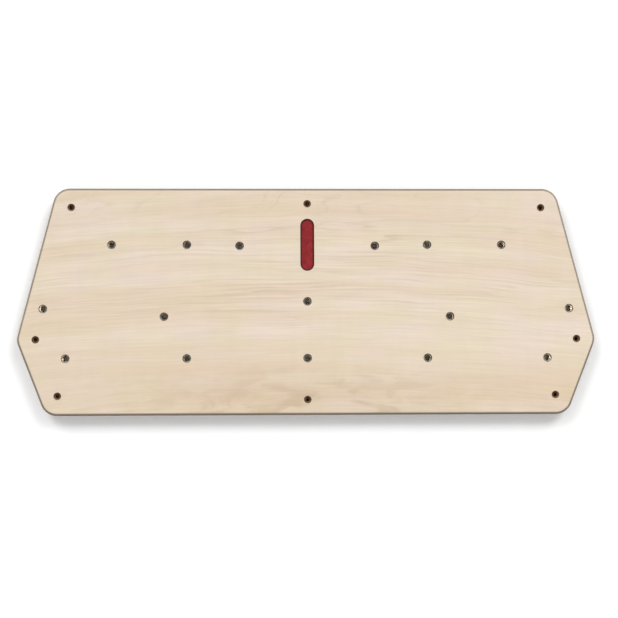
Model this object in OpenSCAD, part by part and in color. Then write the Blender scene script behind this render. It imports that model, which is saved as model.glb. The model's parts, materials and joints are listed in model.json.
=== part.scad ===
// Climbing-hold board: a six-sided plywood panel with M10 drive-in T-nuts set from the back.
//
// The board stands as it hangs: X runs along its width, Z is up, and the front faces -Y.
// The origin is on the back face, at the centre of the board's height and width.
// Each piece is drawn lying flat, x across, y up the board and z out from the wall,
// and stand_up() turns it into the board's own frame.

/* [Board] */
// Width at the widest level, over the rounded side tips
board_w = 840; // [835:1:900]
// Height from the bottom edge to the top edge
board_h = 330; // [325:1:360]
// Thickness of the plywood
board_t = 18; // [18:1:24]
// Width of the top edge, between its unrounded corners
top_w = 728; // [724:1:760]
// Width of the bottom edge, between its unrounded corners
bottom_w = 757; // [754:1:790]
// Height of the widest level above the bottom edge
widest_up = 109; // [100:1:130]
// Radius of all six corners
corner_r = 25; // [15:1:30]

/* [Hold nuts] */
// Distance from the centre line to the main nut columns
column_x = 175; // [160:1:185]
// Distance of the upper and lower nut rows from the centre of the board
row_y = 82.5; // [80:0.5:90]
// Diameter of the hole that a nut's barrel sits in
nut_hole_d = 12; // [12:0.1:12.4]
// Outer diameter of a nut's barrel
barrel_d = 11.8; // [11.2:0.1:11.8]
// Length of a nut's barrel in front of its flange
barrel_l = 15; // [10:0.5:16]
// Bore of the M10 x 1.5 thread at its crests
thread_d = 8.5; // [8.4:0.1:8.6]
// Diameter of a nut's flange
flange_d = 26; // [25:0.5:28]
// Thickness of a nut's flange and prongs
flange_t = 1.5; // [1.2:0.1:2]
// Length of a prong in front of the flange
prong_l = 8; // [6:0.5:10]
// Width of a prong where it leaves the flange
prong_w = 5; // [4:0.5:6]

/* [Wall screws] */
// Diameter of the through hole for a wall screw
screw_d = 5.5; // [5:0.1:6]
// Diameter of the countersink at the front face
sink_d = 11; // [10:0.5:12]

/* [Mark] */
// Width of the routed capsule mark
mark_w = 20; // [16:1:30]
// Height of the routed capsule mark
mark_h = 76; // [50:1:80]
// Depth of the routed pocket
mark_depth = 3; // [2:0.5:4]
// Thickness of the coloured infill on the floor of the pocket
infill_t = 1; // [0.5:0.1:1.5]

/* [Hidden] */
$fn = 96;
// Clear space around a nut's flange and prongs, and the infill's edge
flange_gap = 0.2;
prong_gap = 0.15;
infill_gap = 0.1;
// A cutting solid reaches this far past the face it opens
over = 1;
// Number of prongs on a nut, how wide one is at its tip, and the bend line's radius
prong_count = 4;
prong_tip_w = 1.2;
bend_r = flange_d / 2 - flange_t;
// Depth of the thread's lead-in, where the bolt enters the barrel
lead_in = 0.6;
// Each nut is turned by this much more than the one before it, as loose nuts fall
nut_turn = 37;

// Nuts on the centre line, then those that stand in pairs left and right of it
nut_centre = [[0, 0], [0, -row_y]];
nut_pairs = [
    [column_x, row_y], [column_x, -row_y], [284, row_y], [98.5, row_y - 1.5],
    [382.5, -10.5], [208, -22], [350, -row_y]
];
// Wall screws on the centre line, then those that stand in pairs
screw_centre = [[0, 142.5], [0, -142.5]];
screw_pairs = [[342.5, 137], [393, -55], [361, -136.5]];

// Both places of each pair, left one first
function both_sides(pairs) = [for (p = pairs, side = [-1, 1]) [side * p.x, p.y]];
nut_places = concat(nut_centre, both_sides(nut_pairs));
screw_places = concat(screw_centre, both_sides(screw_pairs));

// t_nut_01, t_nut_02 and so on
function nut_name(i) = str("t_nut_", i < 9 ? "0" : "", i + 1);
nut_names = [for (i = [0:len(nut_places) - 1]) nut_name(i)];

top_y = board_h / 2;
bottom_y = -board_h / 2;
widest_y = bottom_y + widest_up;
function unit(v) = v / norm(v);
// Half of the angle at p between the edges that lead to a and b
function half_angle(a, p, b) = acos(unit(a - p) * unit(b - p)) / 2;
// Centre of the arc that rounds the corner p
function arc_centre(a, p, b) =
    p + corner_r / sin(half_angle(a, p, b)) * unit(unit(a - p) + unit(b - p));

// Rounding pulls the side tip in, so its unrounded corner stands this much outside the board's width
function pulled_in(half_w) = let (
    tip = arc_centre([top_w / 2, top_y], [half_w, widest_y], [bottom_w / 2, bottom_y])
) half_w - tip.x - corner_r;
widest_half = board_w / 2 + pulled_in(board_w / 2 + pulled_in(board_w / 2));

// Unrounded corners, anticlockwise from the bottom right
corners = [
    [bottom_w / 2, bottom_y], [widest_half, widest_y], [top_w / 2, top_y],
    [-top_w / 2, top_y], [-widest_half, widest_y], [-bottom_w / 2, bottom_y]
];

// Turns a piece drawn lying flat into the hanging board's frame
module stand_up() {
    rotate([90, 0, 0]) children();
}

// Six-sided outline: a straight-edged core, and a disc that rounds each corner
module board_outline() {
    n = len(corners);
    // Each corner p with its neighbours a and b
    around = [for (i = [0:n - 1]) [corners[(i + n - 1) % n], corners[i], corners[(i + 1) % n]]];
    polygon([
        for (c = around)
            let (a = c[0], p = c[1], b = c[2], run = corner_r / tan(half_angle(a, p, b)))
                each [p + run * unit(a - p), p + run * unit(b - p)]
    ]);
    for (c = around) translate(arc_centre(c[0], c[1], c[2])) circle(r = corner_r);
}

// Upright capsule of the mark, drawn smaller by gap all round
module capsule(gap) {
    r = mark_w / 2 - gap;
    straight = mark_h - mark_w;
    square([2 * r, straight], center = true);
    for (side = [-1, 1]) translate([0, side * straight / 2]) circle(r = r);
}

// The four prongs of a nut, with their roots in the flange, drawn larger by gap all round
module prongs(gap) {
    root = prong_w / 2 + gap;
    tip = prong_tip_w / 2 + gap;
    top = flange_t + prong_l + gap;
    for (k = [0:prong_count - 1])
        rotate([0, 0, k * 360 / prong_count])
            translate([bend_r - flange_t - gap, 0, 0])
                rotate([90, 0, 90])
                    linear_extrude(flange_t + 2 * gap)
                        polygon([[-root, 0], [root, 0], [root, flange_t], [tip, top],
                                 [-tip, top], [-root, flange_t]]);
}

// What a nut needs cut away: barrel hole, flange seat and prong pockets
module nut_seat() {
    translate([0, 0, -over]) cylinder(d = nut_hole_d, h = board_t + 2 * over);
    translate([0, 0, -over]) cylinder(d = flange_d + 2 * flange_gap, h = flange_t + over);
    prongs(prong_gap);
}

// Through hole and a 90 degree countersink in the front face
module screw_hole() {
    sink = (sink_d - screw_d) / 2;
    translate([0, 0, -over]) cylinder(d = screw_d, h = board_t + 2 * over);
    translate([0, 0, board_t - sink]) cylinder(d1 = screw_d, d2 = sink_d + 2 * over, h = sink + over);
}

module plywood_panel() {
    color([0.88, 0.82, 0.74])
        stand_up()
            difference() {
                linear_extrude(board_t) board_outline();
                for (i = [0:len(nut_places) - 1])
                    translate(nut_places[i]) rotate(i * nut_turn) nut_seat();
                for (p = screw_places) translate(p) screw_hole();
                translate([0, row_y, board_t - mark_depth]) linear_extrude(mark_depth + over) capsule(0);
            }
}

// Cured colour on the floor of the routed mark
module mark_infill() {
    color([0.56, 0.13, 0.15])
        stand_up()
            translate([0, row_y, board_t - mark_depth]) linear_extrude(infill_t) capsule(infill_gap);
}

// One M10 T-nut: flange flush with the back face, barrel towards the front, prongs in the wood
module t_nut(i) {
    barrel_end = flange_t + barrel_l;
    color([0.62, 0.64, 0.65])
        stand_up()
            translate(nut_places[i])
                rotate(i * nut_turn)
                    difference() {
                        union() {
                            cylinder(d = flange_d, h = flange_t);
                            cylinder(d = barrel_d, h = barrel_end);
                            prongs(0);
                        }
                        translate([0, 0, -over]) cylinder(d = thread_d, h = barrel_end + 2 * over);
                        translate([0, 0, barrel_end - lead_in])
                            cylinder(d1 = thread_d, d2 = thread_d + 2 * (lead_in + over), h = lead_in + over);
                        flange_notches();
                    }
}

// Slots left in the flange's rim where the prongs were cut and bent forward
module flange_notches() {
    for (k = [0:prong_count - 1])
        rotate([0, 0, k * 360 / prong_count])
            translate([bend_r, -prong_w / 2, -over])
                cube([flange_t + over, prong_w, flange_t + 2 * over]);
}

plywood_panel();
mark_infill();
for (i = [0:len(nut_places) - 1])
    t_nut(i);
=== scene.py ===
"""A climbing-hold board: birch plywood panel, steel T-nuts set from the back, and a red routed mark."""
import json
import math

import bmesh
import bpy
from mathutils import Matrix, Vector
from mathutils.geometry import convex_hull_2d, delaunay_2d_cdt

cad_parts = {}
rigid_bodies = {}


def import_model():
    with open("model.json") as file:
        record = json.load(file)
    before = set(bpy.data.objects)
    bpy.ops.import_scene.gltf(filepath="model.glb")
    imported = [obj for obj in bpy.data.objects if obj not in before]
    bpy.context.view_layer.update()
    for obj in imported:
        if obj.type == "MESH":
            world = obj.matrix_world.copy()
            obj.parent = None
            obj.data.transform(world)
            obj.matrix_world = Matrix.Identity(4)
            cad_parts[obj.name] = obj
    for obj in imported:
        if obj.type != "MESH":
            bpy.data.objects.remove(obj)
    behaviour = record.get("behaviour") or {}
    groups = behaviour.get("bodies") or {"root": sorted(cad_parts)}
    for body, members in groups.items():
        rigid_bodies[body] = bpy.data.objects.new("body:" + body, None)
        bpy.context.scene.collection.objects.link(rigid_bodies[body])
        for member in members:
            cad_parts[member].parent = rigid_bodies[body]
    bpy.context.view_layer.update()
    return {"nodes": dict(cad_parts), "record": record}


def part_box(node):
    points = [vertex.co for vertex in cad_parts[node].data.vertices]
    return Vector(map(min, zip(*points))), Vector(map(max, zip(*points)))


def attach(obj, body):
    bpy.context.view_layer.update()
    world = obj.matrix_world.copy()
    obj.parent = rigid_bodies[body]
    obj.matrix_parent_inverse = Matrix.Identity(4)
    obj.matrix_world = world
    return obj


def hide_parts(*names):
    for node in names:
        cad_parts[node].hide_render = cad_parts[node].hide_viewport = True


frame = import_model()
MM = 0.001
TURN = 2 * math.pi
# A small worn edge is two slopes, which meet at this part of its width
SOFTENED = 0.3

# The board's own planes: the front face looks towards -Y
PANEL_LOW, PANEL_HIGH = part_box("plywood_panel")
FRONT_Y, BACK_Y = PANEL_LOW.y, PANEL_HIGH.y
THICKNESS = BACK_Y - FRONT_Y
PLY_COUNT = 13

# Panel; its second material is for what was drilled
DRILLED = 1
SHORTEST_STRAIGHT = 30 * MM
FRONT_ROUND = 4.8 * MM
BACK_ROUND = 1.5 * MM
ROUND_STEPS = 12
CORNER_STEPS = 20
HOLE_SIDES = 64

# Nut holes in the panel
HOLE_R = 6.0 * MM
HOLE_EASE = 0.25 * MM
SEAT_R = 13.2 * MM
SEAT_DEPTH = 1.5 * MM
SEAT_CHAMFER = 0.8 * MM
PRONG_SLACK = 0.15 * MM

# Screw holes in the panel
SCREW_R = 2.75 * MM
SINK_R = 5.5 * MM
SINK_EASE = 0.15 * MM
SINK_EASE_DEPTH = 0.12 * MM
BACK_EASE = 0.2 * MM

# T-nut
FLANGE_R = 13.0 * MM
FLANGE_T = 1.5 * MM
FLANGE_EDGE = 0.12 * MM
FLANGE_EDGE_STEPS = 3
FLANGE_ARC_STEPS = 14
BARREL_R = 5.9 * MM
BARREL_EDGE = 0.15 * MM
NUT_LENGTH = 16.5 * MM
THREAD_CREST_R = 4.25 * MM
THREAD_DEPTH = 0.72 * MM
THREAD_PITCH = 1.5 * MM
THREAD_STEPS = 12
THREAD_SIDES = 56
THROAT_ROUND = 1.6 * MM
THROAT_STEPS = 4
MOUTH_WIDTH = 0.15 * MM
MOUTH_DEPTH = 0.15 * MM
BARREL_FILLET = 0.7 * MM
FILLET_STEPS = 4
NOTCH_R = 11.5 * MM
PRONG_COUNT = 4
PRONG_HALF = 2.5 * MM
PRONG_IN = 9.85 * MM
PRONG_OUT = 11.3 * MM
PRONG_LENGTH = 8.0 * MM
# Down a prong: how far along it, how wide as a part of its full width, and the millimetres off each face
PRONG_TAPER = ((0.0, 1.0, 0.0), (0.5, 0.86, 0.05), (0.9, 0.42, 0.25), (1.0, 0.2, 0.45))
NUT_TURN = math.radians(37)

# Routed mark
MARK_LOW, MARK_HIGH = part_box("mark_infill")
MARK_GAP = 0.1 * MM
MARK_R = (MARK_HIGH.x - MARK_LOW.x) / 2 + MARK_GAP
MARK_STRAIGHT = (MARK_HIGH.z - MARK_LOW.z) / 2 + MARK_GAP - MARK_R
MARK_CENTRE = (MARK_LOW + MARK_HIGH) / 2
MARK_DEPTH = MARK_HIGH.y - FRONT_Y
MARK_EDGE = 0.15 * MM
MARK_STEPS = 20


# ---------------------------------------------------------------- camera

CAMERA_OFFSET = Vector((-61, -1995, -112)) * MM
AIM_OFFSET = Vector((2.2, 0, -11.2)) * MM
CAMERA_ROLL = math.radians(-0.19)
LENS_MM = 80.1


def make_camera():
    """Two metres in front of the board, a little left of its middle and below it."""
    middle = Vector(((PANEL_LOW.x + PANEL_HIGH.x) / 2, FRONT_Y, (PANEL_LOW.z + PANEL_HIGH.z) / 2))
    data = bpy.data.cameras.new("camera")
    data.sensor_width = 36
    data.lens = LENS_MM
    camera = bpy.data.objects.new("camera", data)
    camera.location = middle + CAMERA_OFFSET
    look = (middle + AIM_OFFSET - camera.location).to_track_quat("-Z", "Y")
    camera.rotation_mode = "QUATERNION"
    camera.rotation_quaternion = look @ Matrix.Rotation(CAMERA_ROLL, 3, "Z").to_quaternion()
    bpy.context.scene.collection.objects.link(camera)
    bpy.context.scene.camera = camera


# ---------------------------------------------------------------- outlines in the board's plane

def direction(angle):
    """The unit vector (x, z) at this angle from +X."""
    return Vector((math.cos(angle), math.sin(angle)))


def quarter_turn(steps):
    """(cosine, sine) at even steps over a right angle."""
    angles = [math.pi / 2 * k / steps for k in range(steps + 1)]
    return [(math.cos(angle), math.sin(angle)) for angle in angles]


def circle(centre, radius, sides=HOLE_SIDES):
    """Points (x, z) of a circle."""
    return [centre + direction(TURN * k / sides) * radius for k in range(sides)]


def capsule(radius):
    """Points (x, z) of the upright mark's outline, at this radius about its straight middle line."""
    points = []
    for side, start in ((1, 0.0), (-1, math.pi)):
        end = Vector((MARK_CENTRE.x, MARK_CENTRE.z + side * MARK_STRAIGHT))
        points += [end + direction(start + math.pi * k / MARK_STEPS) * radius for k in range(MARK_STEPS + 1)]
    return points


def turned(x, z, angle):
    """The point (x, z) turned about the origin."""
    return Vector((x * math.cos(angle) - z * math.sin(angle), x * math.sin(angle) + z * math.cos(angle)))


def prong_loops(bm, centre, angle, root_y, slack=0.0):
    """Four-sided loops down one tapered prong, which stands out from the flange's front at root_y."""
    loops = []
    for along, width, thin in PRONG_TAPER:
        inner, outer = PRONG_IN + thin * MM - slack, PRONG_OUT - thin * MM + slack
        half = PRONG_HALF * width + slack
        corners = ((inner, -half), (outer, -half), (outer, half), (inner, half))
        points = [centre + turned(x, z, angle) for x, z in corners]
        loops.append(ring(bm, points, root_y - (PRONG_LENGTH + slack) * along))
    bands(bm, loops, smooth=False)
    fill(bm, loops[-1])
    return loops[0]


def board_corners():
    """The outline's arcs in the frame, anticlockwise: (centre, radius, first angle, turn)."""
    mesh = frame["nodes"]["plywood_panel"].data
    flat = [Vector(p) for p in sorted({(v.co.x, v.co.z) for v in mesh.vertices})]
    hull = [flat[i] for i in convex_hull_2d(flat)]
    edges = []
    for k, start in enumerate(hull):
        end = hull[(k + 1) % len(hull)]
        if (end - start).length > SHORTEST_STRAIGHT:
            edges.append((start, end, (end - start).normalized()))
    arcs = []
    for k, (_, leave, u) in enumerate(edges):
        arrive, _, w = edges[(k + 1) % len(edges)]
        turn = math.acos(max(-1.0, min(1.0, u.dot(w))))
        radius = (arrive - leave).length / (2 * math.sin(turn / 2))
        outward = Vector((u.y, -u.x))
        arcs.append((leave - outward * radius, radius, math.atan2(outward.y, outward.x), turn))
    return arcs


def board_outline(arcs, inset):
    """Points (x, z) of the board's outline, moved in by inset."""
    points = []
    for centre, radius, first, turn in arcs:
        for k in range(CORNER_STEPS + 1):
            points.append(centre + direction(first + turn * k / CORNER_STEPS) * (radius - inset))
    return points


def inset_loop(points, distance):
    """An anticlockwise loop with each edge moved in by distance."""
    moved = []
    for k, p in enumerate(points):
        before = (p - points[k - 1]).normalized()
        after = (points[(k + 1) % len(points)] - p).normalized()
        n1, n2 = Vector((-before.y, before.x)), Vector((-after.y, after.x))
        moved.append(p + (n1 + n2) * (distance / (1 + n1.dot(n2))))
    return moved


# ---------------------------------------------------------------- mesh building

def ring(bm, points, y):
    """A loop of vertices over these (x, z) points, in the plane at y."""
    return [bm.verts.new((p[0], y, p[1])) for p in points]


def bands(bm, loops, smooth=True, material=0):
    """Four-sided faces between each two loops of the same length."""
    for first, second in zip(loops, loops[1:]):
        for k in range(len(first)):
            j = (k + 1) % len(first)
            face = bm.faces.new((first[k], first[j], second[j], second[k]))
            face.smooth = smooth
            face.material_index = material


def fill(bm, outer, holes=()):
    """Flat faces inside the outer loop and outside the round or four-sided holes."""
    loops = [outer, *holes]
    verts = [v for loop in loops for v in loop]
    owner = [k for k, loop in enumerate(loops) for _ in loop]
    edges, start = [], 0
    for loop in loops:
        edges += [(start + k, start + (k + 1) % len(loop)) for k in range(len(loop))]
        start += len(loop)
    inside_edges, same_point = 1, 1e-8
    flat = [Vector((v.co.x, v.co.z)) for v in verts]
    _, _, faces, origins, _, _ = delaunay_2d_cdt(flat, edges, [], inside_edges, same_point)
    for face in faces:
        corners = [origins[i][0] for i in face]
        owners = {owner[i] for i in corners}
        if len(owners) == 1 and owners != {0}:
            continue
        bm.faces.new([verts[i] for i in corners]).smooth = False


def finish_mesh(bm, name, sharp=30):
    """The finished mesh, with every edge sharper than this many degrees shaded as a corner."""
    bmesh.ops.recalc_face_normals(bm, faces=bm.faces)
    for edge in bm.edges:
        edge.smooth = edge.calc_face_angle(0.0) < math.radians(sharp)
    mesh = bpy.data.meshes.new(name)
    bm.to_mesh(mesh)
    bm.free()
    return mesh


def add_piece(name, mesh, node):
    """Places a mesh in the scene as a piece that stands for this node of the frame."""
    piece = bpy.data.objects.new(name, mesh)
    bpy.context.scene.collection.objects.link(piece)
    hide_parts(node)
    return piece


# ---------------------------------------------------------------- places read from the frame

def nut_names():
    """The frame's T-nuts, in order."""
    return sorted(n for n in frame["nodes"] if n.startswith("t_nut_"))


def nut_centre(name):
    """The (x, z) of this nut's axis."""
    low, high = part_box(name)
    return Vector(((low.x + high.x) / 2, (low.z + high.z) / 2))


def nut_angle(index):
    """How far the frame's nut of this index is turned in its hole."""
    return index * NUT_TURN


def screw_centres():
    """Every hole of the record's wall-screw patterns."""
    centres = []
    for mount in frame["record"]["mounts"]:
        if not mount["name"].startswith("wall_screws"):
            continue
        middle = Vector((mount["pos_m"][0], mount["pos_m"][2]))
        half_x = mount["dims"].get("spacing_x_mm", 0) * MM / 2
        half_z = mount["dims"].get("spacing_y_mm", 0) * MM / 2
        centres += [middle + Vector((half_x, half_z)) * side for side in (-1, 1)]
    return centres


# ---------------------------------------------------------------- the panel

def round_profile(radius):
    """(inset, depth) pairs along a rounded edge, from the side to the face."""
    return [(radius * (1 - cosine), radius * (1 - sine)) for cosine, sine in quarter_turn(ROUND_STEPS)]


def cut_nut_hole(bm, centre, angle):
    """The hole, chamfer, flange seat and prong pockets of one nut. Returns its front and back loops."""
    seat_y = BACK_Y - SEAT_DEPTH
    softened = HOLE_EASE * SOFTENED
    front = ring(bm, circle(centre, HOLE_R + HOLE_EASE), FRONT_Y)
    wall = [
        front,
        ring(bm, circle(centre, HOLE_R + softened), FRONT_Y + softened),
        ring(bm, circle(centre, HOLE_R), FRONT_Y + HOLE_EASE),
        ring(bm, circle(centre, HOLE_R), seat_y - SEAT_CHAMFER),
        ring(bm, circle(centre, HOLE_R + SEAT_CHAMFER), seat_y),
    ]
    bands(bm, wall, material=DRILLED)
    seat = ring(bm, circle(centre, SEAT_R), seat_y)
    back = ring(bm, circle(centre, SEAT_R), BACK_Y)
    bands(bm, [seat, back], material=DRILLED)
    pockets = [prong_loops(bm, centre, angle + k * TURN / PRONG_COUNT, seat_y, PRONG_SLACK)
               for k in range(PRONG_COUNT)]
    fill(bm, seat, [wall[-1], *pockets])
    return front, back


def cut_screw_hole(bm, centre):
    """A countersunk through hole. Returns its front and back loops."""
    sink_depth = SINK_R - SCREW_R
    loops = [
        ring(bm, circle(centre, SINK_R), FRONT_Y),
        ring(bm, circle(centre, SINK_R - SINK_EASE), FRONT_Y + SINK_EASE_DEPTH),
        ring(bm, circle(centre, SCREW_R), FRONT_Y + sink_depth),
        ring(bm, circle(centre, SCREW_R), BACK_Y - BACK_EASE),
        ring(bm, circle(centre, SCREW_R + BACK_EASE), BACK_Y),
    ]
    bands(bm, loops, material=DRILLED)
    return loops[0], loops[-1]


def cut_mark(bm):
    """The routed pocket of the mark. Returns its loop in the front face."""
    loops = [
        ring(bm, capsule(MARK_R + MARK_EDGE), FRONT_Y),
        ring(bm, capsule(MARK_R), FRONT_Y + MARK_EDGE),
        ring(bm, capsule(MARK_R), FRONT_Y + MARK_DEPTH),
    ]
    bands(bm, loops)
    fill(bm, loops[-1])
    return loops[0]


def make_panel(face_wood, drilled_wood):
    """The whole plywood panel, with rounded edges, every hole, the nut seats and the mark's pocket."""
    bm = bmesh.new()
    arcs = board_corners()
    loops = [ring(bm, board_outline(arcs, inset), FRONT_Y + depth)
             for inset, depth in reversed(round_profile(FRONT_ROUND))]
    loops += [ring(bm, board_outline(arcs, inset), BACK_Y - depth)
              for inset, depth in round_profile(BACK_ROUND)]
    bands(bm, loops)
    fronts, backs = [], []
    for index, name in enumerate(nut_names()):
        front, back = cut_nut_hole(bm, nut_centre(name), nut_angle(index))
        fronts.append(front)
        backs.append(back)
    for centre in screw_centres():
        front, back = cut_screw_hole(bm, centre)
        fronts.append(front)
        backs.append(back)
    fronts.append(cut_mark(bm))
    fill(bm, loops[0], fronts)
    fill(bm, loops[-1], backs)
    mesh = finish_mesh(bm, "birch_board")
    mesh.materials.append(face_wood)
    mesh.materials.append(drilled_wood)
    return add_piece("birch_board", mesh, "plywood_panel")


# ---------------------------------------------------------------- the T-nuts

def flange_outline():
    """The flange seen from the back: a disc with a slot in its rim for each prong."""
    notch_half = math.asin(PRONG_HALF / FLANGE_R)
    points = []
    for k in range(PRONG_COUNT):
        out = k * TURN / PRONG_COUNT
        points += [turned(NOTCH_R, -PRONG_HALF, out), turned(NOTCH_R, PRONG_HALF, out)]
        start, end = out + notch_half, out + TURN / PRONG_COUNT - notch_half
        for i in range(FLANGE_ARC_STEPS + 1):
            points.append(direction(start + (end - start) * i / FLANGE_ARC_STEPS) * FLANGE_R)
    return points


def thread_radius(angle, y):
    """Bore radius of the thread at this angle and this y, which is 0 at the flange's back face.

    As it is, the thread winds left-handed. A real M10 thread is right-handed.
    """
    phase = (-y / THREAD_PITCH + angle / TURN) % 1.0
    flat_valley, flank_slope = 1.35, 1.7
    valley = max(0.0, min(1.0, flat_valley - abs(phase * 2 - 1) * flank_slope))
    from_mouth = NUT_LENGTH - MOUTH_DEPTH + y
    from_throat = -y - THROAT_ROUND
    fade = max(0.0, min(1.0, from_mouth / THREAD_PITCH, from_throat / THREAD_PITCH))
    return THREAD_CREST_R + THREAD_DEPTH * valley * fade


def threaded_bore(bm):
    """Loops of the bore, from its throat in the flange to its mouth at the barrel's end."""
    origin = Vector((0, 0))
    loops = []
    for cosine, sine in quarter_turn(THROAT_STEPS):
        radius = THREAD_CREST_R + THROAT_ROUND * (1 - sine)
        loops.append(ring(bm, circle(origin, radius, THREAD_SIDES), -THROAT_ROUND * (1 - cosine)))
    start, end = -THROAT_ROUND, -(NUT_LENGTH - MOUTH_DEPTH)
    count = round((start - end) / THREAD_PITCH * THREAD_STEPS)
    for k in range(1, count + 1):
        y = start + (end - start) * k / count
        angles = [TURN * i / THREAD_SIDES for i in range(THREAD_SIDES)]
        loops.append(ring(bm, [direction(angle) * thread_radius(angle, y) for angle in angles], y))
    return loops


def barrel_profile():
    """(radius, y) along the outside of the barrel, from its end to the flange's front face."""
    softened = BARREL_EDGE * SOFTENED
    profile = [
        (THREAD_CREST_R + MOUTH_WIDTH, -NUT_LENGTH),
        (BARREL_R - BARREL_EDGE, -NUT_LENGTH),
        (BARREL_R - softened, -NUT_LENGTH + softened),
        (BARREL_R, -NUT_LENGTH + BARREL_EDGE),
    ]
    for cosine, sine in quarter_turn(FILLET_STEPS):
        profile.append((BARREL_R + BARREL_FILLET * (1 - cosine), -FLANGE_T - BARREL_FILLET * (1 - sine)))
    return profile


def flange_rim(bm):
    """Loops round the flange's softened rim, from its back face to its front face."""
    outline = flange_outline()
    steps = quarter_turn(FLANGE_EDGE_STEPS)
    profile = [(FLANGE_EDGE * (1 - sine), -FLANGE_EDGE * (1 - cosine)) for cosine, sine in steps]
    profile += [(FLANGE_EDGE * (1 - cosine), -FLANGE_T + FLANGE_EDGE * (1 - sine)) for cosine, sine in steps]
    return [ring(bm, inset_loop(outline, inset), y) for inset, y in profile]


def make_nut_mesh():
    """One M10 drive-in nut, its flange's back face at y 0 and its barrel towards -Y."""
    bm = bmesh.new()
    origin = Vector((0, 0))
    rim = flange_rim(bm)
    bands(bm, rim)
    bore = threaded_bore(bm)
    bands(bm, bore)
    barrel = [ring(bm, circle(origin, radius, THREAD_SIDES), y) for radius, y in barrel_profile()]
    bands(bm, [bore[-1], barrel[0]])
    bands(bm, barrel)
    prongs = [prong_loops(bm, origin, k * TURN / PRONG_COUNT, -FLANGE_T) for k in range(PRONG_COUNT)]
    fill(bm, rim[0], [bore[0]])
    fill(bm, rim[-1], [barrel[-1], *prongs])
    return finish_mesh(bm, "hold_nut", sharp=40)


def make_nuts(material):
    """The nuts, which share one mesh, each turned as the frame's nut is."""
    mesh = make_nut_mesh()
    mesh.materials.append(material)
    for index, name in enumerate(nut_names()):
        nut = add_piece(name.replace("t_nut", "hold_nut"), mesh, name)
        centre = nut_centre(name)
        place = Matrix.Translation((centre.x, BACK_Y, centre.y))
        nut.matrix_world = place @ Matrix.Rotation(-nut_angle(index), 4, "Y")
        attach(nut, "root")


# ---------------------------------------------------------------- the mark's colour

def make_mark(material):
    """Colour poured into the routed pocket: a thin floor that creeps up the walls."""
    bm = bmesh.new()
    floor_y = MARK_HIGH.y
    gap = 0.04 * MM
    skin = 0.14 * MM
    surface = MARK_HIGH.y - MARK_LOW.y
    climb = MARK_DEPTH - 0.35 * MM
    # (in from the pocket's wall, up from its floor): up behind the skin, over its top, and down to the middle
    profile = [
        (gap, 0.0), (gap, climb), (gap + skin * 0.5, climb + skin * 0.4), (gap + skin, climb),
        (gap + skin * 1.1, surface + 1.2 * MM), (gap + skin * 1.6, surface + 0.55 * MM),
        (0.5 * MM, surface + 0.22 * MM), (0.95 * MM, surface + 0.08 * MM), (1.8 * MM, surface + 0.01 * MM),
        (3.2 * MM, surface), (6.0 * MM, surface), (8.6 * MM, surface),
    ]
    loops = [ring(bm, capsule(MARK_R - inset), floor_y - height) for inset, height in profile]
    bands(bm, loops)
    fill(bm, loops[0])
    fill(bm, loops[-1])
    mesh = finish_mesh(bm, "mark_colour", sharp=50)
    mesh.materials.append(material)
    return add_piece("mark_colour", mesh, "mark_infill")


# ---------------------------------------------------------------- materials

def srgb(red, green, blue):
    """A shader colour from an 0 to 255 display colour."""
    def linear(v):
        v /= 255
        return v / 12.92 if v <= 0.04045 else ((v + 0.055) / 1.055) ** 2.4
    return (linear(red), linear(green), linear(blue), 1.0)


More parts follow.
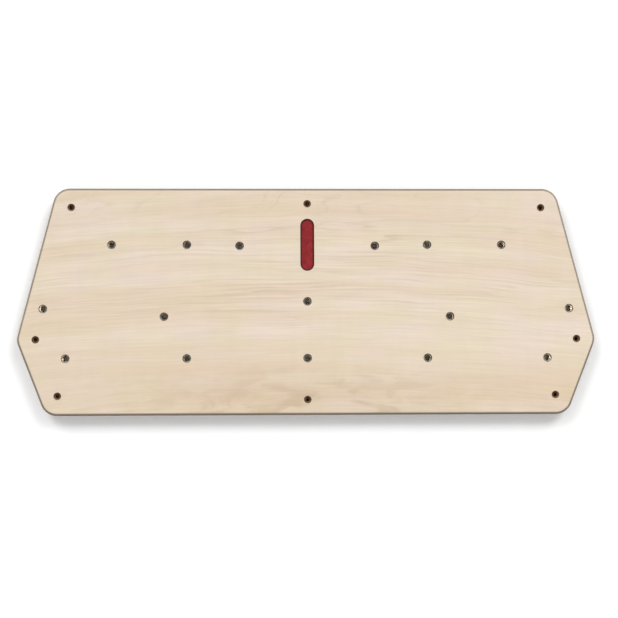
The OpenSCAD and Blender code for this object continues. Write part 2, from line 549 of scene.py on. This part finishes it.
class Nodes:
    """Short calls that add and join shader nodes."""

    def __init__(self, tree):
        self.tree = tree

    def put(self, socket, value):
        """Joins another node's output to the socket, or sets its value."""
        if isinstance(value, bpy.types.NodeSocket):
            self.tree.links.new(value, socket)
        else:
            socket.default_value = value

    def node(self, kind, inputs=(), output=0, **settings):
        """A new node with these inputs and settings. Returns the output of this number or name."""
        made = self.tree.nodes.new(kind)
        for key, value in settings.items():
            setattr(made, key, value)
        for key, value in dict(inputs).items():
            self.put(made.inputs[key], value)
        return made.outputs[output]

    def math(self, operation, a, b=0.0):
        return self.node("ShaderNodeMath", {0: a, 1: b}, operation=operation)

    def add(self, first, *others):
        for other in others:
            first = self.math("ADD", first, other)
        return first

    def less(self, a, b):
        return self.math("SUBTRACT", a, b)

    def times(self, a, b):
        return self.math("MULTIPLY", a, b)

    def size(self, value):
        """The number without its sign."""
        return self.math("ABSOLUTE", value)

    def length(self, a, b):
        """The length of a vector with these two parts."""
        return self.math("SQRT", self.add(self.math("POWER", a, 2.0), self.math("POWER", b, 2.0)))

    def vector(self, x, y, z):
        return self.node("ShaderNodeCombineXYZ", {0: x, 1: y, 2: z})

    def shaded(self, colour, tone):
        """The colour made darker or lighter by the number tone."""
        return self.mix(1.0, colour, self.vector(tone, tone, tone), blend="MULTIPLY")

    def parts(self, vector):
        """The x, y and z of a vector."""
        made = self.tree.nodes.new("ShaderNodeSeparateXYZ")
        self.put(made.inputs[0], vector)
        return made.outputs[0], made.outputs[1], made.outputs[2]

    def noise(self, vector, x, y, z, detail=2.0, roughness=0.5, distortion=0.0):
        """Noise of about x, y and z cells a metre along the three axes."""
        scaled = self.node("ShaderNodeVectorMath", {0: vector, 1: (x, y, z)}, operation="MULTIPLY")
        inputs = {"Vector": scaled, "Scale": 1.0, "Detail": detail, "Roughness": roughness,
                  "Distortion": distortion}
        return self.node("ShaderNodeTexNoise", inputs, noise_dimensions="3D")

    def between(self, value, low, high, new_low=0.0, new_high=1.0):
        """The value eased from low..high to new_low..new_high, and held past both ends."""
        inputs = {0: value, 1: low, 2: high, 3: new_low, 4: new_high}
        return self.node("ShaderNodeMapRange", inputs, interpolation_type="SMOOTHSTEP")

    def mix(self, factor, first, second, blend="MIX"):
        """The colour first where factor is 0, and second, or both multiplied, where it is 1."""
        made = self.tree.nodes.new("ShaderNodeMix")
        made.data_type = "RGBA"
        made.blend_type = blend
        first_colour, second_colour, result = 6, 7, 2
        self.put(made.inputs["Factor"], factor)
        self.put(made.inputs[first_colour], first)
        self.put(made.inputs[second_colour], second)
        return made.outputs[result]

    def choose(self, factor, first, second):
        """The number first where factor is 0 and second where it is 1."""
        first_number, second_number = 2, 3
        return self.node("ShaderNodeMix", {"Factor": factor, first_number: first, second_number: second})


class Surface(Nodes):
    """The nodes of one new material."""

    def __init__(self, name):
        self.material = bpy.data.materials.new(name)
        self.material.use_nodes = True
        super().__init__(self.material.node_tree)
        self.shader = self.tree.nodes["Principled BSDF"]
        self.place = self.node("ShaderNodeTexCoord", output="Object")
        self.normal = self.node("ShaderNodeNewGeometry", output="Normal")

    def set(self, **inputs):
        """Sets or joins the shader's own inputs."""
        for key, value in inputs.items():
            self.put(self.shader.inputs[key.replace("_", " ")], value)

    def bump(self, height, strength, distance):
        inputs = {"Height": height, "Strength": strength, "Distance": distance}
        self.set(Normal=self.node("ShaderNodeBump", inputs))


BIRCH_YELLOW = srgb(214, 201, 178)
BIRCH_PINK = srgb(217, 201, 186)
BIRCH_WARM = srgb(206, 182, 152)
BIRCH_LATE = srgb(184, 158, 130)
BIRCH_CURL = srgb(194, 173, 146)
# Colours of the cut faces, long grain and end grain. The end grain is really darker; all four are also
# darkened as a painted shade on the rounded edges, the mark's pocket walls and in the holes
SHADED_EDGE_LONG = srgb(140, 129, 115)
SHADED_EDGE_END = srgb(110, 97, 82)
SHADED_DRILLED_LONG = srgb(112, 82, 52)
SHADED_DRILLED_END = srgb(80, 55, 33)
GLUE_LINE = srgb(70, 50, 34)

ZINC_DULL = srgb(129, 127, 121)
ZINC_BRIGHT = srgb(166, 167, 165)
ZINC_SCRATCH = srgb(214, 216, 218)
ZINC_BORE = srgb(184, 170, 148)

RED_DEEP = srgb(120, 22, 27)
RED_BRIGHT = srgb(144, 33, 38)
# The darkest red is a painted shade along the pocket's wall
RED_PAINTED_SHADE = srgb(50, 12, 10)

# The log that the veneers were cut from, in metres: where its straight grain runs on the board, how strongly
# the fibres arch over the middle, how far they wander, and where in the log the next veneer was
STRAIGHT_GRAIN_Z = 0.030
GRAIN_ARCH = 0.12
GRAIN_WANDER = 0.016
NEXT_VENEER = 3.7
RINGS_PER_METRE = 150.0
RING_SPREAD = 0.060
RING_END = 0.93


def veneer_at(s, y):
    """The veneer at this depth: its index from the front, 1 if its grain is upright, and the glue lines."""
    ply = s.times(s.less(y, FRONT_Y), PLY_COUNT / THICKNESS)
    ply = s.math("MINIMUM", s.math("MAXIMUM", ply, 0.001), PLY_COUNT - 0.001)
    index = s.math("FLOOR", ply)
    upright = s.math("MODULO", index, 2.0)
    off_middle = s.size(s.less(s.math("FRACT", ply), 0.5))
    first, last, soft = 0.5, PLY_COUNT - 0.5, 0.05
    after_first = s.between(ply, first - soft, first + soft)
    before_last = s.between(ply, last - soft, last + soft, 1.0, 0.0)
    glue = s.times(s.between(off_middle, 0.42, 0.47), s.times(after_first, before_last))
    return index, upright, glue


def grain_place(s, index, along, across):
    """How far a point is from the log's straight grain, and its place in the log. Each veneer has its own."""
    log = s.times(index, NEXT_VENEER)
    wander = s.less(s.noise(s.vector(along, log, across), 4.5, 1.0, 9.0, detail=2.0), 0.5)
    arch = s.times(s.math("POWER", along, 2.0), GRAIN_ARCH)
    level = s.add(s.less(across, STRAIGHT_GRAIN_Z), arch, s.times(wander, GRAIN_WANDER))
    return level, s.vector(along, log, level)


def growth_rings(s, along, level, grain, outer):
    """Dark late wood: close and straight across the middle, opening into loops towards both long edges."""
    climb = s.times(s.math("TANH", s.math("DIVIDE", level, RING_SPREAD)), RING_SPREAD * RINGS_PER_METRE)
    broad = s.less(s.noise(grain, 5.0, 1.0, 13.0, detail=2.0, distortion=0.3), 0.5)
    small = s.less(s.noise(grain, 2.5, 1.0, 75.0, detail=2.0), 0.5)
    broad = s.times(broad, s.choose(outer, 2.2, 9.0))
    small = s.times(small, s.choose(outer, 4.2, 0.8))
    phase = s.math("FRACT", s.add(climb, broad, small))
    start = s.choose(outer, 0.50, 0.74)
    late = s.times(s.between(phase, start, RING_END), s.between(phase, RING_END, 1.0, 1.0, 0.0))
    strength = s.between(s.noise(grain, 5.5, 1.0, 30.0, detail=2.0), 0.38, 0.66, 0.05, 1.0)
    strength = s.times(strength, s.between(level, -0.08, 0.0, 0.15, 1.0))
    strength = s.times(strength, s.between(s.size(along), 0.05, 0.30, 1.0, 0.55))
    return s.times(late, s.times(strength, s.choose(outer, 1.1, 0.7)))


def veneer_colour(s, along, across, grain, outer, late):
    """Pale birch in yellow and pink patches and warm bands, darker low down in the middle, with curled grain
    there.
    """
    patch = s.noise(grain, 11.0, 1.0, 26.0, detail=2.0)
    cloud = s.noise(grain, 2.6, 1.0, 6.0, detail=1.0)
    band = s.noise(grain, 1.6, 1.0, 34.0, detail=1.0)
    curl = s.between(s.noise(grain, 16.0, 1.0, 48.0, detail=3.0, distortion=1.0), 0.34, 0.72)
    warm = s.times(outer, s.between(cloud, 0.35, 0.65, 0.25, 1.0))
    low = s.times(s.between(across, -0.07, -0.15), s.between(s.size(along), 0.06, 0.30, 1.0, 0.25))
    colour = s.mix(s.between(patch, 0.34, 0.66), BIRCH_YELLOW, BIRCH_PINK)
    colour = s.mix(s.times(warm, 0.25), colour, BIRCH_WARM)
    colour = s.mix(s.between(band, 0.40, 0.65, 0.0, 0.35), colour, BIRCH_WARM)
    colour = s.mix(s.times(low, s.between(curl, 0.0, 1.0, 0.30, 1.0)), colour, BIRCH_CURL)
    return s.mix(s.times(late, 0.38), colour, BIRCH_LATE)


def birch_plywood(name, shaded_cut_long, shaded_cut_end):
    """Birch veneers of crossed grain, darker where a tool has cut through them: partly their real end grain
    and glue lines, partly a painted shade.
    """
    s = Surface(name)
    x, y, z = s.parts(s.place)
    nx, ny, nz = s.parts(s.normal)
    index, upright, glue = veneer_at(s, y)
    along = s.choose(upright, x, z)
    across = s.choose(upright, z, x)
    level, grain = grain_place(s, index, along, across)
    outer = s.between(s.size(level), 0.055, 0.125)
    late = growth_rings(s, along, level, grain, outer)

    # The veneer's face, from its broadest streaks to its single fibres and pores
    streak = s.noise(grain, 3.2, 1.0, 170.0, detail=1.0, roughness=0.6)
    thread = s.noise(grain, 10.0, 1.0, 430.0, detail=2.0, roughness=0.6)
    ripple = s.noise(grain, 60.0, 1.0, 16.0, detail=2.0)
    fibre = s.noise(grain, 30.0, 1.0, 2300.0, detail=3.0, roughness=0.6)
    pore = s.between(s.noise(grain, 260.0, 1.0, 4200.0, detail=0.0), 0.66, 0.76)
    # A painted light: each veneer grows a little lighter along its grain, so the face is lighter towards +X
    painted_light_lengthwise = s.times(along, 0.03)
    fine = s.times(s.between(thread, 0.3, 0.7, -0.048, 0.048), s.choose(outer, 1.0, 0.6))
    tone = s.add(s.between(streak, 0.3, 0.7, 0.984, 1.016), fine, s.between(ripple, 0.3, 0.7, -0.008, 0.008),
                 s.between(fibre, 0.25, 0.75, -0.020, 0.020), s.times(pore, -0.06), painted_light_lengthwise)
    face = s.shaded(veneer_colour(s, along, across, grain, outer, late), tone)

    # The veneers' cut faces: darker where the fibres end, and darker as a whole, which is a painted shade on
    # the rounded edges, the pocket's walls and the holes
    cut = s.between(s.size(ny), 0.995, 0.90)
    end_grain = s.between(s.choose(upright, s.size(nx), s.size(nz)), 0.2, 0.8)
    speck = s.noise(s.place, 1500.0, 1100.0, 1500.0, detail=2.0)
    shaded_cut = s.mix(s.times(glue, 0.8), s.mix(end_grain, shaded_cut_long, shaded_cut_end), GLUE_LINE)
    shaded_cut = s.shaded(shaded_cut, s.between(speck, 0.3, 0.7, 0.84, 1.12))

    groove = s.times(glue, -0.8)
    smooth = s.add(s.times(fibre, 0.5), s.times(streak, 0.3), s.times(pore, -0.7), s.times(late, -0.2),
                   groove)
    height = s.choose(s.times(end_grain, cut), smooth, s.add(speck, groove))
    s.set(Base_Color=s.mix(cut, face, shaded_cut), Roughness=s.between(fibre, 0.3, 0.7, 0.58, 0.70),
          Specular_IOR_Level=0.35)
    s.bump(height, 0.4, 0.06 * MM)
    return s.material


def zinc_steel():
    """Zinc on pressed steel, dulled by handling and finely scratched, and warmer in the bore."""
    s = Surface("zinc_steel")
    x, _, z = s.parts(s.place)
    bore_r = THREAD_CREST_R + THREAD_DEPTH
    in_bore = s.between(s.length(x, z), bore_r, bore_r + 0.4 * MM, 1.0, 0.0)
    cloud = s.noise(s.place, 260.0, 260.0, 260.0, detail=3.0)
    scratch = s.noise(s.place, 500.0, 5200.0, 500.0, detail=2.0)
    colour = s.mix(s.between(cloud, 0.35, 0.65), ZINC_DULL, ZINC_BRIGHT)
    colour = s.mix(s.between(scratch, 0.6, 0.8, 0.0, 0.35), colour, ZINC_SCRATCH)
    colour = s.mix(s.times(in_bore, 0.8), colour, ZINC_BORE)
    rough_outside = s.between(cloud, 0.3, 0.7, 0.20, 0.34)
    rough_in_bore = s.between(cloud, 0.3, 0.7, 0.22, 0.30)
    s.set(Base_Color=colour, Metallic=1.0, Roughness=s.choose(in_bore, rough_outside, rough_in_bore))
    s.bump(scratch, 0.25, 0.02 * MM)
    return s.material


def red_infill():
    """Satin red lacquer, with a painted shade that darkens it towards the pocket's wall."""
    s = Surface("red_infill")
    x, _, z = s.parts(s.place)
    past_straight = s.less(s.size(s.less(z, MARK_CENTRE.z)), MARK_STRAIGHT)
    off = s.length(s.less(x, MARK_CENTRE.x), s.math("MAXIMUM", past_straight, 0.0))
    # A painted shade: the red darkens over the last few millimetres towards the pocket's wall
    painted_wall_shade = s.between(off, MARK_R - 3.4 * MM, MARK_R - 0.6 * MM)
    cloud = s.noise(s.place, 120.0, 120.0, 120.0, detail=3.0)
    brush = s.noise(s.place, 900.0, 900.0, 90.0, detail=2.0)
    colour = s.mix(s.between(cloud, 0.3, 0.7), RED_DEEP, RED_BRIGHT)
    colour = s.mix(s.times(painted_wall_shade, 0.9), colour, RED_PAINTED_SHADE)
    s.set(Base_Color=colour, Roughness=s.between(brush, 0.3, 0.7, 0.42, 0.54), Specular_IOR_Level=0.3)
    s.bump(s.add(cloud, s.times(brush, 0.4)), 0.3, 0.08 * MM)
    return s.material


# ---------------------------------------------------------------- stage and light

WALL_GAP = 0.6 * MM
WALL_REACH = 6.0
WALL_HEIGHT = 5.0
FLOOR_DROP = 0.75
FLOOR_REACH = 60.0


def plain(name, brightness, one_sided=False):
    """A matt pale material. A one-sided one is clear when it is seen from behind."""
    s = Surface(name)
    s.set(Base_Color=(brightness, brightness, brightness, 1.0), Roughness=0.9, Specular_IOR_Level=0.1)
    if one_sided:
        behind = s.node("ShaderNodeNewGeometry", output="Backfacing")
        clear = s.node("ShaderNodeBsdfTransparent")
        shown = s.node("ShaderNodeMixShader", {0: behind, 1: s.shader.outputs[0], 2: clear})
        s.put(s.tree.nodes["Material Output"].inputs[0], shown)
    return s.material


def add_to_stage(name, mesh, material):
    """Places a mesh that isn't part of the object."""
    mesh.materials.append(material)
    made = bpy.data.objects.new(name, mesh)
    bpy.context.scene.collection.objects.link(made)
    return made


def add_sheet(name, corners, material):
    """A flat four-cornered piece of the stage."""
    mesh = bpy.data.meshes.new(name)
    mesh.from_pydata(corners, [], [tuple(range(len(corners)))])
    return add_to_stage(name, mesh, material)


def make_wall():
    """A pale wall just behind the board, seen only from in front, which takes shadows but casts none."""
    y = BACK_Y + WALL_GAP
    foot = PANEL_LOW.z - FLOOR_DROP
    corners = [(-WALL_REACH, y, foot), (WALL_REACH, y, foot),
               (WALL_REACH, y, WALL_HEIGHT), (-WALL_REACH, y, WALL_HEIGHT)]
    wall = add_sheet("wall", corners, plain("pale_wall", 0.96, one_sided=True))
    wall.visible_shadow = False
    wall.visible_diffuse = False
    wall.visible_glossy = False


def make_floor():
    """A pale floor below the board."""
    z = PANEL_LOW.z - FLOOR_DROP
    corners = [(-FLOOR_REACH, -FLOOR_REACH, z), (FLOOR_REACH, -FLOOR_REACH, z),
               (FLOOR_REACH, FLOOR_REACH, z), (-FLOOR_REACH, FLOOR_REACH, z)]
    add_sheet("floor", corners, plain("pale_floor", 0.58))


def make_hole_ends():
    """Pale discs that close the back of every hole, as a wall right behind it would."""
    bm = bmesh.new()
    for name in nut_names():
        disc = circle(nut_centre(name), THREAD_CREST_R + THREAD_DEPTH)
        fill(bm, ring(bm, disc, BACK_Y - 0.15 * MM))
    for centre in screw_centres():
        disc = circle(centre, SCREW_R - 0.02 * MM)
        fill(bm, ring(bm, disc, BACK_Y - BACK_EASE))
    add_to_stage("hole_ends", finish_mesh(bm, "hole_ends"), plain("pale_hole_end", 0.90, one_sided=True))


def add_light(name, kind, place, power, **settings):
    """A light at this place that faces the frame's origin. The camera doesn't see the lamp itself."""
    data = bpy.data.lights.new(name, kind)
    data.energy = power
    for key, value in settings.items():
        setattr(data, key, value)
    light = bpy.data.objects.new(name, data)
    light.location = place
    light.rotation_mode = "QUATERNION"
    light.rotation_quaternion = (-Vector(place)).to_track_quat("-Z", "Y")
    light.visible_camera = False
    bpy.context.scene.collection.objects.link(light)
    return light


def softbox(name, place, width, height, power):
    """A rectangular soft light of this size in metres and power in watts."""
    return add_light(name, "AREA", place, power, shape="RECTANGLE", size=width, size_y=height)


def far_softbox(name, place, spread, power):
    """An even soft light from far away, which looks this many degrees wide."""
    add_light(name, "SUN", place, power, angle=math.radians(spread))


def nut_lights():
    """Two tall strips that light only the nuts and their hole ends, for the glints in the bores."""
    receivers = bpy.data.collections.new("lit_by_nut_lights")
    for made in bpy.context.scene.objects:
        if made.name.startswith(("hold_nut", "hole_ends")):
            receivers.objects.link(made)
    left = softbox("nut_left_strip", (-1.50, -1.70, 0), 0.4, 2.0, 75)
    right = softbox("nut_right_strip", (1.70, -1.70, 0), 0.4, 2.0, 120)
    for light in (left, right):
        light.light_linking.receiver_collection = receivers


def make_room():
    """White where the camera sees it. It lights from in front only, less from below and straight ahead."""
    world = bpy.data.worlds.new("room")
    bpy.context.scene.world = world
    world.use_nodes = True
    n = Nodes(world.node_tree)
    _, y, z = n.parts(n.node("ShaderNodeTexCoord", output="Generated"))
    off_axis = n.between(y, -0.97, -0.60, 0.20, 0.96)
    upward = n.between(z, -0.9, 0.6, 0.60, 1.08)
    in_front = n.between(y, -0.12, 0.10, 1.0, 0.0)
    strength = n.times(n.times(off_axis, upward), in_front)
    seen = n.node("ShaderNodeLightPath", output="Is Camera Ray")
    background = world.node_tree.nodes["Background"]
    n.put(background.inputs["Strength"], n.choose(seen, strength, 1.0))
    n.put(background.inputs["Color"], (1.0, 1.0, 1.0, 1.0))


def make_light():
    """Two soft lights from above, the nuts' own strips, two boxes behind, and the room."""
    far_softbox("left_top", (-1.5, -1.5, 2.0), 28, 1.40)
    far_softbox("right_top", (1.5, -1.5, 2.0), 28, 1.46)
    nut_lights()
    softbox("back_left_box", (-2.0, 1.0, 0.9), 1.2, 1.2, 36)
    softbox("back_right_box", (2.0, 1.0, 0.9), 1.2, 1.2, 36)
    make_room()
    bpy.context.scene.view_settings.view_transform = "Standard"


# ---------------------------------------------------------------- the scene

make_camera()
face_wood = birch_plywood("birch_plywood", SHADED_EDGE_LONG, SHADED_EDGE_END)
drilled_wood = birch_plywood("drilled_birch", SHADED_DRILLED_LONG, SHADED_DRILLED_END)
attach(make_panel(face_wood, drilled_wood), "root")
make_nuts(zinc_steel())
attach(make_mark(red_infill()), "root")
make_wall()
make_floor()
make_hole_ends()
make_light()
